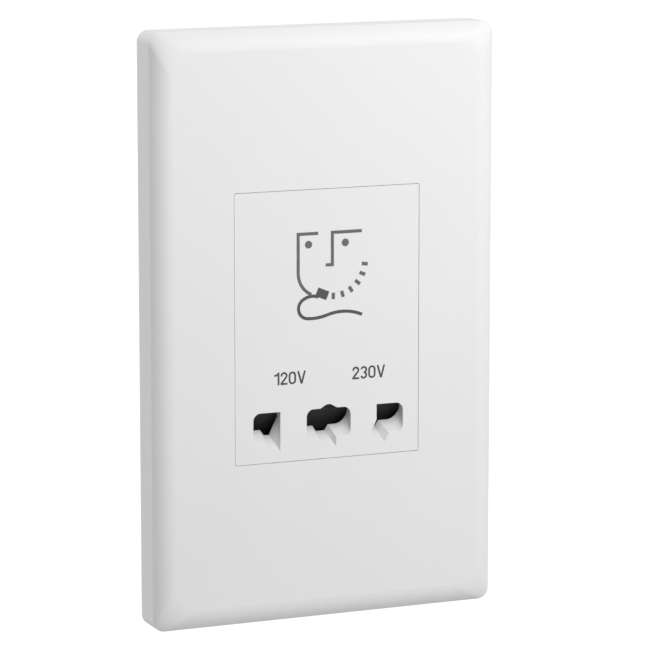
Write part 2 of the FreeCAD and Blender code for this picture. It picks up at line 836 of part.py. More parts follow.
def lever_pivot():
    """Axis of the switch lever, under the left end of the switch."""
    x_span, y_span, z_span = switch_spans()
    return Vector(x_span[0] + PIVOT_INSET, sum(y_span) / 2, z_span[0] - PIVOT_DROP)


def switch_spans():
    """Limits of the switch, on the carrier's front face over the shutter."""
    back = carrier_front_y()
    droop = LEVER_L * math.sin(math.radians(LEVER_REST_DEG))
    bottom = SHUTTER_TOP + LEVER_PAD_RISE + RUN + LEVER_T + droop + PIVOT_DROP
    return about(0, SWITCH_L), (back - SWITCH_T, back), (bottom, bottom + SWITCH_H)


def switch_pin_places():
    """Places of the two pins that hold the switch."""
    x_span, _, z_span = switch_spans()
    z = sum(z_span) / 2 + SWITCH_PIN_RISE
    return [(x, z) for x in about(sum(x_span) / 2, SWITCH_PIN_PITCH)]


def build_switch_body():
    """Microswitch case with two pin holes, a plunger well and two lugs for the lever."""
    x_span, y_span, z_span = switch_spans()
    pivot = lever_pivot()
    body = box(x_span, y_span, z_span)
    lug_y = (y_span[1] - (SWITCH_T - LEVER_W) / 2 + 2 * FIT, y_span[1])
    lugs = []
    for span in (lug_y, (y_span[0], y_span[0] + lug_y[1] - lug_y[0])):
        lugs.append(box(about(pivot.x, LUG_W), span, (pivot.z - LUG_DROP, z_span[0] + FIT)))
    body = fuse_all([body] + lugs)
    body = body.cut(rod_y(pivot.x, pivot.z, PIVOT_R + FIT, y_span))
    for x, z in switch_pin_places():
        body = body.cut(rod_y(x, z, SWITCH_PIN_R + FIT, y_span))
    well_x = about(pivot.x + PLUNGER_AT, PLUNGER_W + 2 * FIT)
    well_z = (z_span[0], z_span[0] + PLUNGER_BURY + PLUNGER_TRAVEL + RUN)
    well = box(well_x, about(pivot.y, PLUNGER_W + 2 * FIT), well_z)
    return body.cut(well)


def build_switch_lever():
    """Sprung lever on its pin, pointing down to the shutter's pad at rest."""
    pivot = lever_pivot()
    arm = box((0, LEVER_L), about(0, LEVER_W), about(0, LEVER_T))
    pin = rod_y(0, 0, PIVOT_R, about(0, SWITCH_T - RUN))
    lever = fuse_all([arm, pin])
    lever.rotate(Vector(0, 0, 0), Vector(0, 1, 0), LEVER_REST_DEG)
    lever.translate(pivot)
    return lever


def build_switch_plunger():
    """Plunger between the lever and the switch's inside."""
    _, _, z_span = switch_spans()
    pivot = lever_pivot()
    rest = math.radians(LEVER_REST_DEG)
    lever_top = pivot.z - (PLUNGER_AT - PLUNGER_W / 2) * math.tan(rest) + LEVER_T / 2 / math.cos(rest)
    reach = (lever_top + RUN, z_span[0] + PLUNGER_BURY)
    return box(about(pivot.x + PLUNGER_AT, PLUNGER_W), about(pivot.y, PLUNGER_W), reach)


def build_switch_pins():
    """Two pins that hold the switch on the carrier."""
    _, y_span, _ = switch_spans()
    reach = (y_span[0] - RUN / 2, carrier_back_y())
    return Part.makeCompound([rod_y(x, z, SWITCH_PIN_R, reach) for x, z in switch_pin_places()])


def build_core():
    """E stack and I stack of the laminated core, with corner holes."""
    width, height, y_span = core_sizes()
    low = CORE_Z - height / 2
    block = box(about(0, width), y_span, (low, low + height))
    for x in (-1.5 * CORE_UNIT, 1.5 * CORE_UNIT):
        block = block.cut(box(about(x, CORE_UNIT), y_span, about(CORE_Z, 3 * CORE_UNIT)))
    for x, z in bolt_places():
        block = block.cut(rod_y(x, z, SMALL_SCREW_R + BOLT_HOLE_CLEAR, y_span))
    upper = box(about(0, width), y_span, (low + CORE_UNIT, low + height))
    lower = box(about(0, width), y_span, (low, low + CORE_UNIT))
    return block.common(upper), block.common(lower)


def build_core_bolts():
    """Four bolts through the core into the case's pads."""
    y_span = core_sizes()[2]
    shank = CASE_DEPTH - CASE_WALL - RUN - y_span[0]
    bolts = [
        screw(x, z, SMALL_SCREW_R, shank, SMALL_HEAD_R, SMALL_HEAD_H, y_span[0], 1)
        for x, z in bolt_places()
    ]
    return Part.makeCompound(bolts)


def coil_rect(grow, radius):
    """Rounded section round the middle leg, seen along Z, as a wire at height zero."""
    half_x = CORE_UNIT + grow
    half_y = CORE_STACK / 2 + grow
    corners = [(-half_x, -half_y), (half_x, -half_y), (half_x, half_y), (-half_x, half_y)]
    return outline([(Vector(x, CORE_Y + y, 0), radius) for x, y in corners])


def sleeve(inner, outer, radius, z_span):
    """Ring round the middle leg between two growths of its section."""
    shell = Part.Face(coil_rect(outer, radius)).extrude(Vector(0, 0, z_span[1] - z_span[0]))
    shell = shell.cut(Part.Face(coil_rect(inner, 0)).extrude(Vector(0, 0, z_span[1] - z_span[0])))
    shell.translate(Vector(0, 0, z_span[0]))
    return shell


def bobbin_levels():
    """Lower end, lower side and upper side of the middle flange, and upper end of the bobbin."""
    half = 1.5 * CORE_UNIT - FIT
    return CORE_Z - half, CORE_Z - BOBBIN_WALL / 2, CORE_Z + BOBBIN_WALL / 2, CORE_Z + half


def build_bobbin():
    """Split bobbin: a square tube with two end flanges and a middle one."""
    low, mid_low, mid_high, high = bobbin_levels()
    tube_out = FIT + BOBBIN_WALL
    pieces = [sleeve(FIT, tube_out, 0, (low, high))]
    for z_span in ((low, low + BOBBIN_WALL), (mid_low, mid_high), (high - BOBBIN_WALL, high)):
        pieces.append(sleeve(FIT, FLANGE_GROW, 0, z_span))
    return fuse_all(pieces)


def build_winding(z_span):
    """One winding in its half of the bobbin."""
    inner = FIT + BOBBIN_WALL + FIT
    return sleeve(inner, inner + COIL_BUILD, COIL_R, (z_span[0] + FIT, z_span[1] - FIT))


def coil_front_y():
    """Front of the windings."""
    return CORE_Y - CORE_STACK / 2 - 2 * FIT - BOBBIN_WALL - COIL_BUILD


def primary_span():
    """Height limits of the primary winding."""
    low, mid_low, _, _ = bobbin_levels()
    return low + BOBBIN_WALL, mid_low


def secondary_span():
    """Height limits of the secondary winding."""
    _, _, mid_high, high = bobbin_levels()
    return mid_high, high - BOBBIN_WALL


def build_thermal_cutout():
    """Overload cutout bonded to the front of the primary winding."""
    y_span = (coil_front_y() - CUTOUT_T, coil_front_y())
    return box(about(0, CUTOUT_W), y_span, about(sum(primary_span()) / 2, CUTOUT_H))


def terminal_places():
    """Middles of the three terminals across the block."""
    return [index * TERMINAL_PITCH for index in (-1, 0, 1)]


def cage_z():
    """Middle of the terminal cages."""
    return CASE_BOTTOM - BLOCK_H + CAGE_H / 2


def build_terminal_block():
    """Moulded block under the case with three cage pockets, screw wells and peg holes."""
    block_y = (BLOCK_BACK - BLOCK_T, BLOCK_BACK)
    block = box(about(0, BLOCK_W), block_y, (CASE_BOTTOM - BLOCK_H, CASE_BOTTOM))
    uprights = [edge for edge in block.Edges if edge.BoundBox.ZLength > FIT]
    block = block.makeFillet(BLOCK_CORNER_R, uprights)
    rim = [edge for edge in block.Edges if edge.BoundBox.ZMax < CASE_BOTTOM - BLOCK_H + FIT]
    block = block.makeFillet(BLOCK_EDGE_R, rim)
    middle_y = sum(block_y) / 2
    for x in terminal_places():
        pocket_z = (CASE_BOTTOM - BLOCK_H, cage_z() + CAGE_H / 2 + FIT)
        pocket = box(about(x, CAGE_W + 2 * FIT), about(middle_y, CAGE_T + 2 * FIT), pocket_z)
        block = block.cut(pocket)
        block = block.cut(rod_y(x, cage_z(), TERMINAL_HEAD_R + RUN, (middle_y, BLOCK_BACK)))
    for x, y in peg_places():
        block = block.cut(rod_z(x, y, PEG_R + FIT, (CASE_BOTTOM - PEG_L - FIT, CASE_BOTTOM)))
    return block


def build_terminal_cages():
    """Three brass cages, each with a wire hole from below and a screw hole from behind."""
    middle_y = BLOCK_BACK - BLOCK_T / 2
    cages = []
    for x in terminal_places():
        cage = box(about(x, CAGE_W), about(middle_y, CAGE_T), about(cage_z(), CAGE_H))
        wire = rod_z(x, middle_y, WIRE_HOLE_R, (cage_z() - CAGE_H / 2, cage_z() + CAGE_H / 4))
        thread = rod_y(x, cage_z(), TERMINAL_SCREW_R + FIT, (middle_y, middle_y + CAGE_T / 2))
        cages.append(cage.cut(wire).cut(thread))
    return Part.makeCompound(cages)


def build_terminal_screws():
    """Three clamping screws, reached from behind."""
    seat = BLOCK_BACK - BLOCK_T / 2 + CAGE_T / 2 + FIT
    shank = CAGE_T / 2 - WIRE_HOLE_R
    screws = [
        screw(x, cage_z(), TERMINAL_SCREW_R, shank, TERMINAL_HEAD_R, TERMINAL_HEAD_H, seat, -1)
        for x in terminal_places()
    ]
    return Part.makeCompound(screws)


def build_earth_post():
    """Brass earth post riveted to the frame, with a wire hole across and a screw hole from behind."""
    post = box(about(EARTH_X, EARTH_W), (0, EARTH_T), about(EARTH_Z, EARTH_W))
    rivet = rod_y(EARTH_X, EARTH_Z, RIVET_R, (-SHEET_T, FIT))
    head = rod_y(EARTH_X, EARTH_Z, RIVET_R + RIVET_HEAD_H, (-SHEET_T - RIVET_HEAD_H, -SHEET_T))
    post = fuse_all([post, rivet, head])
    post = post.cut(rod_z(EARTH_X, EARTH_T / 2, WIRE_HOLE_R, about(EARTH_Z, EARTH_W)))
    return post.cut(rod_y(EARTH_X, EARTH_Z, TERMINAL_SCREW_R + FIT, (EARTH_T / 2, EARTH_T)))


def build_earth_screw():
    """Clamping screw of the earth post."""
    seat = EARTH_T + FIT
    shank = EARTH_T / 2 - WIRE_HOLE_R
    return screw(EARTH_X, EARTH_Z, TERMINAL_SCREW_R, shank, TERMINAL_HEAD_R, TERMINAL_HEAD_H, seat, -1)


def tube(points, radius, bend):
    """Round lead along straight runs joined by tangent arcs."""
    path = outline([(point, bend) for point in points], closed=False)
    ring = Part.Wire(Part.makeCircle(radius, points[0], points[1] - points[0]))
    return path.makePipeShell([ring], True, False)


def build_leads():
    """Three leads from the bobbin's rear edge down to the contacts' tails."""
    tail_end = cover_front_y() + COVER_T + TAIL_L
    start_z = bobbin_levels()[0] + BOBBIN_WALL
    leads = []
    for middle, _ in contact_middles():
        start_x = middle / 2
        drop = start_z - 4 * LEAD_BEND_R
        points = [
            Vector(start_x, LEAD_Y, start_z),
            Vector(start_x, LEAD_Y, drop),
            Vector(middle, tail_end + LEAD_R + FIT, drop - 4 * LEAD_BEND_R),
            Vector(middle, tail_end + LEAD_R + FIT, pin_z()),
        ]
        leads.append(tube(points, LEAD_R, LEAD_BEND_R))
    return Part.makeCompound(leads)


def main():
    """Build every node and write it."""
    os.makedirs("parts", exist_ok=True)
    core_e, core_i = build_core()
    left, common, right = [build_contact(middle, half) for middle, half in contact_middles()]
    nodes = {
        "front_plate": build_front_plate(),
        "socket_panel": build_socket_panel(),
        "mounting_frame": build_mounting_frame(),
        "box_screws": build_box_screws(),
        "rear_case": build_rear_case(),
        "case_screws": build_case_screws(),
        "shutter": build_shutter(),
        "shutter_springs": build_shutter_springs(),
        "contact_carrier": build_contact_carrier(),
        "contact_left": left,
        "contact_common": common,
        "contact_right": right,
        "contact_cover": build_contact_cover(),
        "carrier_screws": build_carrier_screws(),
        "switch_body": build_switch_body(),
        "switch_lever": build_switch_lever(),
        "switch_plunger": build_switch_plunger(),
        "switch_pins": build_switch_pins(),
        "core_e_stack": core_e,
        "core_i_stack": core_i,
        "core_bolts": build_core_bolts(),
        "bobbin": build_bobbin(),
        "primary_winding": build_winding(primary_span()),
        "secondary_winding": build_winding(secondary_span()),
        "thermal_cutout": build_thermal_cutout(),
        "terminal_block": build_terminal_block(),
        "terminal_cages": build_terminal_cages(),
        "terminal_screws": build_terminal_screws(),
        "earth_post": build_earth_post(),
        "earth_screw": build_earth_screw(),
        "leads": build_leads(),
    }
    for node, shape in nodes.items():
        save(shape, node)


main()
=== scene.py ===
"""Looks of the shaver socket: finishes, printed signs, threads, springs, light and camera.

X is to the right, Y goes into the wall and Z is up, in metres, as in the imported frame.
"""

import json
import math

import bmesh
import bpy
from mathutils import Matrix, Vector


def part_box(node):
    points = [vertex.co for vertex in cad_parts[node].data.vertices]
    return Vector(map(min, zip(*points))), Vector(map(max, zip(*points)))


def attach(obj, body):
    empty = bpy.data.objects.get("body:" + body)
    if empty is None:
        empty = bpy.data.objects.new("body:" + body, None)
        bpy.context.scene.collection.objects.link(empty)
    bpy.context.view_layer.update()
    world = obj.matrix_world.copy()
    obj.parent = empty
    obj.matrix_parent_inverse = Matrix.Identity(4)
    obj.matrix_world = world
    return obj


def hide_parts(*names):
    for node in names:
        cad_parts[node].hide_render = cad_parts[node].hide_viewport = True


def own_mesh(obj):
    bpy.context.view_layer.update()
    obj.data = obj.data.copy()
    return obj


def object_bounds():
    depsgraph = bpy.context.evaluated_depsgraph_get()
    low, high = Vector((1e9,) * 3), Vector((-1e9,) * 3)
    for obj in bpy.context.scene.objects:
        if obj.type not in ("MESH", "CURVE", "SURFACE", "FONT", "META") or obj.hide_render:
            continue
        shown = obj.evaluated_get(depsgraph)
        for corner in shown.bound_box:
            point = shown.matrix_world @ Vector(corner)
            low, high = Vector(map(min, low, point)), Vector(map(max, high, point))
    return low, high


MM = 0.001
WHITE = (1, 1, 1, 1)

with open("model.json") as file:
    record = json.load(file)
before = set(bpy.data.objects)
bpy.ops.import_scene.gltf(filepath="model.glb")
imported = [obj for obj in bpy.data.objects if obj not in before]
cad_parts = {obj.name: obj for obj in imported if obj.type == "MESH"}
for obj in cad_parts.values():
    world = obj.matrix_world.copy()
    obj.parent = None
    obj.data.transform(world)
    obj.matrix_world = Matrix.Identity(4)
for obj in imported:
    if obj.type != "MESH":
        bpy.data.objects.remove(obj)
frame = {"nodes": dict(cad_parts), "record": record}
nodes = frame["nodes"]
cad_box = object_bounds()

# Print on the panel: thicknesses in metres, strokes in millimetres from the panel's middle
INK_RISE = 0.03 * MM
INK_SINK = 0.01 * MM
INK_LAYER = 0.004 * MM
STROKE_W = 0.8
SPIN_STEP = 6
RIGHTWARDS, UPWARDS, LEFTWARDS, DOWNWARDS = 0, 90, 180, 270
BROW_Z = 22.55
CHEEK_X = -7.76
CHEEK_L = 9.2
CHEEK_BEND = (6.75, 66)
LEFT_BROW_END = -2.5
NOSE_X = 1.25
RIGHT_BROW_END = 9.06
NOSE_L = 7.1
NOSTRIL_L = 1.35
EYE_R = 0.95
EYE_SEGMENTS = 40
EYE_PLACES = ((-5.03, 19.9), (4.67, 19.9))
STUBBLE_MIDDLE = (1.5, 15.3)
STUBBLE_R = 8.4
STUBBLE_L = 1.6
STUBBLE_W = 0.88
STUBBLE_COUNT = 6
STUBBLE_STEP = 16.7
RAZOR_START = (-2.85, 8.2)
RAZOR_HEADING = -22.2
RAZOR_L = 3.1
RAZOR_W = 2.25
FLEX_START = (-2.4, 6.9)
FLEX_HEADING = 160
FLEX_BENDS = ((4.4, 55), (6.23, 140), (5.3, 23), (4.61, -20), (4.9, -22))

# Voltage figures: their places in millimetres, their strokes in parts of the figure's height
VOLTS = {"low": ("120V", -14.1, -14.2), "high": ("230V", 6.6, -14.2)}
FIGURE_H = 3.15
FIGURE_GAP = 0.1
FIGURE_PEN = 0.145
OVAL_R = 0.235
BOWL_R = 0.215
ONE_STEM_X = 0.36
ONE_FLAG_Z = 0.77
ONE_FLAG = ((0.1, 0), (0.24, 65))
TWO_LEAD_IN = 0.04
TWO_TURN = 220
TWO_SLANT_L = 0.63
THREE_TURN = 255
VEE_W = 0.72

# Moulded plastic: clouding and grain in cycles to the metre, and how far the roughness strays
CLOUD_SCALE = 45.0
CLOUD_DETAIL = 3.0
GRAIN_SCALE = 5200.0
GRAIN_DETAIL = 1.0
GRAIN_DEPTH = 0.004 * MM
CASE_GRAIN_SCALE = 2000.0
CASE_GRAIN_DEPTH = 0.03 * MM
MOULDED_SPREAD = 0.05
SHUTTER_SPECULAR = 0.2

# Painted shade inside the pin apertures: share of the depth, and part of the panel's own colour left
# there
PAINTED_RECESS_SHADES = ((0.06, 0.9), (0.5, 0.85), (0.9, 0.52))

# Worked metal: streaks in cycles to the metre along X, Y and Z, and how far the roughness strays
EVEN = (900.0, 900.0, 900.0)
ALONG_X = (250.0, 5000.0, 5000.0)
ALONG_Z = (5000.0, 5000.0, 250.0)
STREAK_SCALE = 0.25
STREAK_DETAIL = 3.0
STREAK_DEPTH = 0.002 * MM
METAL_SPREAD = 0.08

# Core sheets and wire turns: the axis that they are stacked along, how many to the metre, and depth
CORE_STACK = ((0, 1, 0), 2000.0, 0.06 * MM)
COIL_STACK = ((0, 0, 1), 3200.0, 0.1 * MM)
HALF_LAYER = 0.5
GROOVE_SHARE = 0.15

# Ink
INK_CLOUD_SCALE = 900.0
INK_ROUGHNESS = (0.4, 0.5)

# Moulded finishes: duller and fuller colour, roughness
PLASTICS = {
    "plate_white": ((0.785, 0.785, 0.783), (0.81, 0.81, 0.808), 0.56),
    "panel_white": ((0.785, 0.785, 0.783), (0.81, 0.81, 0.808), 0.56),
    "case_black": ((0.016, 0.016, 0.017), (0.03, 0.03, 0.031), 0.5, CASE_GRAIN_DEPTH, CASE_GRAIN_SCALE),
    "shutter_black": ((0.031, 0.031, 0.031), (0.042, 0.042, 0.042), 0.6),
    "carrier_black": ((0.01, 0.01, 0.01), (0.018, 0.018, 0.018), 0.5),
    "switch_plastic": ((0.05, 0.012, 0.01), (0.075, 0.018, 0.015), 0.4),
    "bobbin_nylon": ((0.6, 0.57, 0.5), (0.68, 0.65, 0.58), 0.5),
    "cutout_plastic": ((0.02, 0.02, 0.022), (0.035, 0.035, 0.037), 0.45),
    "block_plastic": ((0.5, 0.5, 0.49), (0.58, 0.58, 0.57), 0.45),
    "lead_insulation": ((0.03, 0.075, 0.25), (0.04, 0.095, 0.31), 0.4),
}

# Metal finishes: duller and fuller colour, roughness, working direction
METALS = {
    "frame_steel": ((0.5, 0.5, 0.48), (0.64, 0.64, 0.61), 0.38, ALONG_Z),
    "screw_zinc": ((0.42, 0.41, 0.38), (0.55, 0.54, 0.5), 0.42, EVEN),
    "contact_bronze": ((0.55, 0.33, 0.16), (0.66, 0.42, 0.22), 0.33, ALONG_X),
    "terminal_brass": ((0.6, 0.42, 0.16), (0.72, 0.53, 0.23), 0.3, ALONG_Z),
    "spring_steel": ((0.45, 0.45, 0.45), (0.58, 0.58, 0.58), 0.28, EVEN),
}

# Stacked finishes: colour of the grooves and of the ridges, roughness, metallic, stack
STACKS = {
    "core_steel": ((0.03, 0.03, 0.032), (0.16, 0.16, 0.17), 0.5, 0.7, CORE_STACK),
    "winding_copper": ((0.12, 0.03, 0.01), (0.5, 0.19, 0.08), 0.35, 0.6, COIL_STACK),
}

# Inks: duller and fuller colour
INKS = {
    "sign_ink": ((0.1, 0.1, 0.102), (0.118, 0.118, 0.12)),
    "razor_ink": ((0.05, 0.05, 0.051), (0.062, 0.062, 0.063)),
    "volts_ink": ((0.036, 0.036, 0.037), (0.046, 0.046, 0.047)),
}

# Finish of every node
NODE_FINISHES = {
    "front_plate": "plate_white",
    "socket_panel": "panel_white",
    "mounting_frame": "frame_steel",
    "box_screws": "screw_zinc",
    "case_screws": "screw_zinc",
    "carrier_screws": "screw_zinc",
    "core_bolts": "screw_zinc",
    "rear_case": "case_black",
    "shutter": "shutter_black",
    "shutter_springs": "spring_steel",
    "contact_carrier": "carrier_black",
    "contact_cover": "carrier_black",
    "contact_left": "contact_bronze",
    "contact_common": "contact_bronze",
    "contact_right": "contact_bronze",
    "switch_body": "switch_plastic",
    "switch_plunger": "bobbin_nylon",
    "switch_lever": "spring_steel",
    "switch_pins": "screw_zinc",
    "core_e_stack": "core_steel",
    "core_i_stack": "core_steel",
    "bobbin": "bobbin_nylon",
    "primary_winding": "winding_copper",
    "secondary_winding": "winding_copper",
    "thermal_cutout": "cutout_plastic",
    "terminal_block": "block_plastic",
    "terminal_cages": "terminal_brass",
    "terminal_screws": "terminal_brass",
    "earth_post": "terminal_brass",
    "earth_screw": "terminal_brass",
    "leads": "lead_insulation",
}

# Threads and springs
THREAD_PITCH = 0.6 * MM
THREAD_DEPTH = 0.33 * MM
THREAD_STEPS = 32
THREAD_RUN_IN = 2
WELD = 0.001 * MM
SPRING_TURNS = 7
SPRING_STEPS = 28
SPRING_WIRE_R = 0.3 * MM
SPRING_WIRE_SIDES = 12

# Camera, from the photograph's perspective
CAMERA_DISTANCE = 0.895
CAMERA_YAW = 23.0
CAMERA_PITCH = 9.81
CAMERA_LENS = 200.7
CAMERA_SENSOR = 36
CAMERA_TARGET = Vector((3.78 * MM, 0, -1.63 * MM))

# Light and floor
AMBIENT = 0.475
KEY_PLACE = Vector((0.19, -0.4, 0.23))
KEY_SIZE = 0.3
KEY_POWER = 1.72
OVERHEAD_PLACE = Vector((-0.5, 0.45, 0.55))
OVERHEAD_SIZE = 0.5
OVERHEAD_POWER = 2.7
FLOOR_DROP = 0.25
FLOOR_SIZE = 30.0
FLOOR_COLOUR = (0.58, 0.58, 0.58)
FLOOR_ROUGHNESS = 0.9
FLOOR_LIFT = 0.76


def new_group(name, inputs, outputs):
    """Empty shader group with value or vector sockets, and its two ends."""
    group = bpy.data.node_groups.new(name, "ShaderNodeTree")
    for label, kind, value in inputs:
        socket = group.interface.new_socket(name=label, in_out="INPUT", socket_type=kind)
        socket.default_value = value
    for label in outputs:
        group.interface.new_socket(name=label, in_out="OUTPUT", socket_type="NodeSocketFloat")
    return group, group.nodes.new("NodeGroupInput"), group.nodes.new("NodeGroupOutput")


def moulded_grain_group():
    """Soft clouding and fine grain of a moulded surface."""
    inputs = [
        ("Cloud Scale", "NodeSocketFloat", CLOUD_SCALE),
        ("Grain Scale", "NodeSocketFloat", GRAIN_SCALE),
    ]
    group, start, end = new_group("moulded_grain", inputs, ["Cloud", "Height"])
    place = group.nodes.new("ShaderNodeTexCoord")
    noises = (("Cloud", "Cloud Scale", CLOUD_DETAIL), ("Height", "Grain Scale", GRAIN_DETAIL))
    for label, scale, detail in noises:
        noise = group.nodes.new("ShaderNodeTexNoise")
        noise.inputs["Detail"].default_value = detail
        group.links.new(place.outputs["Object"], noise.inputs["Vector"])
        group.links.new(start.outputs[scale], noise.inputs["Scale"])
        group.links.new(noise.outputs["Fac"], end.inputs[label])
    return group


def rolled_streaks_group():
    """Drawn-out streaks of rolled, turned or drawn metal, along a stretch given per axis."""
    group, start, end = new_group(
        "rolled_streaks", [("Stretch", "NodeSocketVector", EVEN)], ["Streak", "Height"]
    )
    place = group.nodes.new("ShaderNodeTexCoord")
    stretch = group.nodes.new("ShaderNodeVectorMath")
    stretch.operation = "MULTIPLY"
    group.links.new(place.outputs["Object"], stretch.inputs[0])
    group.links.new(start.outputs["Stretch"], stretch.inputs[1])
    for label, scale in (("Streak", STREAK_SCALE), ("Height", 1.0)):
        noise = group.nodes.new("ShaderNodeTexNoise")
        noise.inputs["Scale"].default_value = scale
        noise.inputs["Detail"].default_value = STREAK_DETAIL
        group.links.new(stretch.outputs["Vector"], noise.inputs["Vector"])
        group.links.new(noise.outputs["Fac"], end.inputs[label])
    return group


def stacked_layers_group():
    """Even ridges along one axis: sheet steel in a stack, or turns of wire."""
    axis, per_metre = CORE_STACK[:2]
    inputs = [("Along", "NodeSocketVector", axis), ("Per Metre", "NodeSocketFloat", per_metre)]
    group, start, end = new_group("stacked_layers", inputs, ["Ridge", "Groove"])
    place = group.nodes.new("ShaderNodeTexCoord")
    along = group.nodes.new("ShaderNodeVectorMath")
    along.operation = "DOT_PRODUCT"
    group.links.new(place.outputs["Object"], along.inputs[0])
    group.links.new(start.outputs["Along"], along.inputs[1])
    count = group.nodes.new("ShaderNodeMath")
    count.operation = "MULTIPLY"
    group.links.new(along.outputs["Value"], count.inputs[0])
    group.links.new(start.outputs["Per Metre"], count.inputs[1])
    wave = group.nodes.new("ShaderNodeMath")
    wave.operation = "PINGPONG"
    wave.inputs[1].default_value = HALF_LAYER
    group.links.new(count.outputs["Value"], wave.inputs[0])
    ridge = group.nodes.new("ShaderNodeMapRange")
    ridge.interpolation_type = "SMOOTHSTEP"
    ridge.inputs["From Max"].default_value = HALF_LAYER
    group.links.new(wave.outputs["Value"], ridge.inputs["Value"])
    groove = group.nodes.new("ShaderNodeMapRange")
    groove.inputs["From Max"].default_value = GROOVE_SHARE
    groove.inputs["To Min"].default_value = 1.0
    groove.inputs["To Max"].default_value = 0.0
    group.links.new(wave.outputs["Value"], groove.inputs["Value"])
    group.links.new(ridge.outputs["Result"], end.inputs["Ridge"])
    group.links.new(groove.outputs["Result"], end.inputs["Groove"])
    return group


MOULDED_GRAIN = moulded_grain_group()
ROLLED_STREAKS = rolled_streaks_group()
STACKED_LAYERS = stacked_layers_group()


def start_finish(name, group, **values):
    """New material with one effect group placed in it."""
    material = bpy.data.materials.new(name)
    material.use_nodes = True
    tree = material.node_tree
    effect = tree.nodes.new("ShaderNodeGroup")
    effect.node_tree = group
    for label, value in values.items():
        effect.inputs[label.replace("_", " ")].default_value = value
    return material, tree, tree.nodes["Principled BSDF"], effect


def between_colours(tree, shader, mask, low, high):
    """Base colour that runs from one colour to another along a mask."""
    mix = tree.nodes.new("ShaderNodeMix")
    mix.data_type = "RGBA"
    mix.inputs["A"].default_value = (*low, 1.0)
    mix.inputs["B"].default_value = (*high, 1.0)
    tree.links.new(mask, mix.inputs["Factor"])
    tree.links.new(mix.outputs["Result"], shader.inputs["Base Color"])


def between_roughness(tree, shader, mask, low, high):
    """Roughness that runs between two values along a mask."""
    spread = tree.nodes.new("ShaderNodeMapRange")
    spread.inputs["To Min"].default_value = low
    spread.inputs["To Max"].default_value = high
    tree.links.new(mask, spread.inputs["Value"])
    tree.links.new(spread.outputs["Result"], shader.inputs["Roughness"])


def raised(tree, shader, height, distance):
    """Bump from a height, in metres."""
    bump = tree.nodes.new("ShaderNodeBump")
    bump.inputs["Distance"].default_value = distance
    bump.inputs["Strength"].default_value = 1.0
    tree.links.new(height, bump.inputs["Height"])
    tree.links.new(bump.outputs["Normal"], shader.inputs["Normal"])


def moulded(name, shade, colour, roughness, depth=GRAIN_DEPTH, grain_scale=GRAIN_SCALE):
    """Moulded plastic: faint clouding, uneven gloss and a fine grain."""
    material, tree, shader, effect = start_finish(name, MOULDED_GRAIN, Grain_Scale=grain_scale)
    cloud = effect.outputs["Cloud"]
    between_colours(tree, shader, cloud, shade, colour)
    between_roughness(tree, shader, cloud, roughness - MOULDED_SPREAD, roughness + MOULDED_SPREAD)
    raised(tree, shader, effect.outputs["Height"], depth)
    return material


def metal(name, shade, colour, roughness, stretch):
    """Bare or plated metal with streaks along its working direction."""
    material, tree, shader, effect = start_finish(name, ROLLED_STREAKS, Stretch=stretch)
    streak = effect.outputs["Streak"]
    shader.inputs["Metallic"].default_value = 1.0
    between_colours(tree, shader, streak, shade, colour)
    between_roughness(tree, shader, streak, roughness - METAL_SPREAD, roughness + METAL_SPREAD)
    raised(tree, shader, effect.outputs["Height"], STREAK_DEPTH)
    return material


def stacked(name, groove, colour, roughness, metallic, stack):
    """Stack of sheets or turns of wire with a dark line between neighbours."""
    axis, per_metre, depth = stack
    material, tree, shader, effect = start_finish(name, STACKED_LAYERS, Along=axis, Per_Metre=per_metre)
    shader.inputs["Metallic"].default_value = metallic
    shader.inputs["Roughness"].default_value = roughness
    between_colours(tree, shader, effect.outputs["Groove"], colour, groove)
    raised(tree, shader, effect.outputs["Ridge"], depth)
    return material


def ink(name, shade, colour):
    """Printed ink, slightly uneven."""
    material, tree, shader, effect = start_finish(name, MOULDED_GRAIN, Cloud_Scale=INK_CLOUD_SCALE)
    between_colours(tree, shader, effect.outputs["Cloud"], shade, colour)
    between_roughness(tree, shader, effect.outputs["Cloud"], *INK_ROUGHNESS)
    return material


def paint_recess_shade(material, face_y, back_y):
    """Painted shade inside the pin apertures, darker towards their throats."""
    tree = material.node_tree
    colour = tree.nodes["Principled BSDF"].inputs["Base Color"]
    place = tree.nodes.new("ShaderNodeTexCoord")
    split = tree.nodes.new("ShaderNodeSeparateXYZ")
    tree.links.new(place.outputs["Object"], split.inputs["Vector"])
    depth = tree.nodes.new("ShaderNodeMapRange")
    depth.inputs["From Min"].default_value = face_y
    depth.inputs["From Max"].default_value = back_y
    tree.links.new(split.outputs["Y"], depth.inputs["Value"])
    shade = tree.nodes.new("ShaderNodeValToRGB")
    stops = shade.color_ramp.elements
    stops[0].color = WHITE
    for share, level in PAINTED_RECESS_SHADES:
        stops.new(share).color = (level, level, level, 1)
    stops.remove(stops[-1])
    tree.links.new(depth.outputs["Result"], shade.inputs["Fac"])
    darker = tree.nodes.new("ShaderNodeMix")
    darker.data_type = "RGBA"
    darker.blend_type = "MULTIPLY"
    darker.inputs["Factor"].default_value = 1.0
    tree.links.new(colour.links[0].from_socket, darker.inputs["A"])
    tree.links.new(shade.outputs["Color"], darker.inputs["B"])
    tree.links.new(darker.outputs["Result"], colour)


def mix_finishes():
    """Every finish, by name."""
    made = {}
    for maker, table in ((moulded, PLASTICS), (metal, METALS), (stacked, STACKS), (ink, INKS)):
        for name, look in table.items():
            made[name] = maker(name, *look)
    # Painted shade in the panel's pin apertures, darker with depth
    paint_recess_shade(made["panel_white"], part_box("socket_panel")[0].y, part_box("shutter")[0].y)
    shutter_shader = made["shutter_black"].node_tree.nodes["Principled BSDF"]
    shutter_shader.inputs["Specular IOR Level"].default_value = SHUTTER_SPECULAR
    return made


finishes = mix_finishes()


